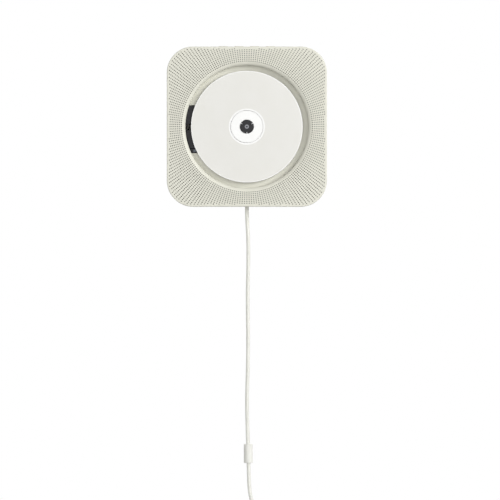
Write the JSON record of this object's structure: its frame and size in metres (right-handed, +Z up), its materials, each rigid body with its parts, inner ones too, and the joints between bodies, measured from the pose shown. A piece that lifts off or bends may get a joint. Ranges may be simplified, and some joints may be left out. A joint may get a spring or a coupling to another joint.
{
  "type": "wall-hung disc player",
  "caption": "Square wall-hung audio disc player with an open round disc well, a perforated front and a pull-cord switch, on a steel hook bracket.",
  "frame": {"origin": "on the wall plane at the centre of the wall bracket's four screw holes, which is on the spindle axis", "axes": "+X to the right as seen from the front, +Z up, +Y into the wall; the front faces -Y"},
  "size_m": [0.172, 0.041, 0.6658],
  "materials": {
    "casing_plastic": "fine moulded texture",
    "deck_plastic": "satin moulded",
    "indicator_plastic": "clear tinted, polished",
    "steel_plate": "pressed, zinc plated",
    "bright_steel": "ground and polished",
    "black_rubber": "moulded",
    "white_acetal": "smooth moulded",
    "hub_plastic": "satin moulded",
    "brass": "turned",
    "disc_plastic": "clear with a printed white face",
    "lens_glass": "polished and coated",
    "sled_plastic": "moulded",
    "motor_can": "drawn steel can",
    "basket_steel": "pressed and painted",
    "cone_paper": "pressed paper",
    "magnet": "sintered",
    "board": "glass fibre laminate with lacquer",
    "chip_plastic": "moulded",
    "capacitor_can": "drawn can",
    "connector_plastic": "moulded",
    "key_plastic": "satin moulded",
    "spring_steel": "drawn wire",
    "guide_plastic": "moulded",
    "cord_vinyl": "extruded soft vinyl",
    "grip_vinyl": "moulded",
    "tie_vinyl": "soft strip",
    "adapter_plastic": "fine moulded texture",
    "prong_metal": "nickel-plated blades"
  },
  "bodies": {
    "wall_bracket": {"wall_bracket": "steel_plate"},
    "player": {"front_cover": "casing_plastic", "rear_cover": "casing_plastic", "cover_screws": "steel_plate", "rear_pads": "black_rubber", "mechanism_deck": "deck_plastic", "indicator_lens": "indicator_plastic", "mech_chassis": "steel_plate", "main_guide_rod": "bright_steel", "second_guide_rod": "bright_steel", "damper_bushes": "black_rubber", "damper_screws": "steel_plate", "spindle_motor": "motor_can", "idler_axle": "bright_steel", "sled_motor": "motor_can", "left_speaker_basket": "basket_steel", "left_speaker_cone": "cone_paper", "left_speaker_magnet": "magnet", "right_speaker_basket": "basket_steel", "right_speaker_cone": "cone_paper", "right_speaker_magnet": "magnet", "circuit_board": "board", "board_screws": "steel_plate", "board_chips": "chip_plastic", "board_capacitors": "capacitor_can", "board_connectors": "connector_plastic", "key_board": "board", "key_switches": "chip_plastic", "slider_guide": "guide_plastic", "pull_spring": "spring_steel", "pull_switch": "chip_plastic"},
    "spindle": {"spindle_shaft": "bright_steel", "turntable": "white_acetal", "chuck_hub": "hub_plastic", "hub_bush": "bright_steel"},
    "chuck_ball_1": {"chuck_ball_1": "bright_steel"},
    "chuck_ball_2": {"chuck_ball_2": "bright_steel"},
    "chuck_ball_3": {"chuck_ball_3": "bright_steel"},
    "disc": {"disc": "disc_plastic"},
    "sled": {"pickup_sled": "sled_plastic", "sled_rack": "white_acetal"},
    "lens": {"lens_holder": "hub_plastic", "objective_lens": "lens_glass"},
    "idler": {"idler_gear": "white_acetal"},
    "pinion": {"motor_pinion": "brass", "sled_motor_shaft": "bright_steel"},
    "track_back_key": {"track_back_key": "key_plastic"},
    "track_forward_key": {"track_forward_key": "key_plastic"},
    "volume_down_key": {"volume_down_key": "key_plastic"},
    "volume_up_key": {"volume_up_key": "key_plastic"},
    "pull_cord": {"pull_slider": "white_acetal", "pull_cord": "cord_vinyl", "pull_grip": "grip_vinyl", "cord_coil": "cord_vinyl", "cord_tie": "tie_vinyl", "adapter_cord": "cord_vinyl", "adapter_strain_relief": "grip_vinyl", "power_adapter": "adapter_plastic", "adapter_prongs": "prong_metal"}
  },
  "joints": [
    {"name": "player_lift", "type": "slide", "parent": "wall_bracket", "child": "player", "axis": [0, 0, 1], "range_m": [0, 0.008]},
    {"name": "spindle_spin", "type": "hinge", "parent": "player", "child": "spindle", "pos_m": [0, -0.03, 0], "axis": [0, -1, 0], "continuous": true},
    {"name": "disc_lift", "type": "slide", "parent": "spindle", "child": "disc", "axis": [0, -1, 0], "range_m": [0, 0.045]},
    {"name": "chuck_ball_1_press", "type": "slide", "parent": "spindle", "child": "chuck_ball_1", "axis": [-0.866, 0, -0.5], "range_m": [0, 0.0005], "stiffness_N_per_m": 200, "springref_m": -0.0005},
    {"name": "chuck_ball_2_press", "type": "slide", "parent": "spindle", "child": "chuck_ball_2", "axis": [0.866, 0, -0.5], "range_m": [0, 0.0005], "stiffness_N_per_m": 200, "springref_m": -0.0005},
    {"name": "chuck_ball_3_press", "type": "slide", "parent": "spindle", "child": "chuck_ball_3", "axis": [0, 0, 1], "range_m": [0, 0.0005], "stiffness_N_per_m": 200, "springref_m": -0.0005},
    {"name": "sled_travel", "type": "slide", "parent": "player", "child": "sled", "axis": [-1, 0, 0], "range_m": [0, 0.032]},
    {"name": "lens_focus", "type": "slide", "parent": "sled", "child": "lens", "axis": [0, -1, 0], "range_m": [-0.0004, 0.0004], "stiffness_N_per_m": 20},
    {"name": "idler_spin", "type": "hinge", "parent": "player", "child": "idler", "pos_m": [-0.036, -0.023, -0.02675], "axis": [0, -1, 0], "range_deg": [0, 236]},
    {"name": "pinion_spin", "type": "hinge", "parent": "player", "child": "pinion", "pos_m": [-0.03003, -0.023, -0.03539], "axis": [0, 1, 0], "range_deg": [0, 680]},
    {"name": "track_back_key_press", "type": "slide", "parent": "player", "child": "track_back_key", "axis": [0, 0, -1], "range_m": [0, 0.0005], "stiffness_N_per_m": 800, "springref_m": -0.0005},
    {"name": "track_forward_key_press", "type": "slide", "parent": "player", "child": "track_forward_key", "axis": [0, 0, -1], "range_m": [0, 0.0005], "stiffness_N_per_m": 800, "springref_m": -0.0005},
    {"name": "volume_down_key_press", "type": "slide", "parent": "player", "child": "volume_down_key", "axis": [0, 0, -1], "range_m": [0, 0.0005], "stiffness_N_per_m": 800, "springref_m": -0.0005},
    {"name": "volume_up_key_press", "type": "slide", "parent": "player", "child": "volume_up_key", "axis": [0, 0, -1], "range_m": [0, 0.0005], "stiffness_N_per_m": 800, "springref_m": -0.0005},
    {"name": "cord_pull", "type": "slide", "parent": "player", "child": "pull_cord", "axis": [0, 0, -1], "range_m": [0, 0.004], "stiffness_N_per_m": 600, "springref_m": -0.004, "deforming": ["pull_spring"]}
  ],
  "couplings": [
    {"joint": "idler_spin", "follows": "sled_travel", "rad_per_m": 128.21},
    {"joint": "pinion_spin", "follows": "sled_travel", "rad_per_m": 370.37}
  ]
}
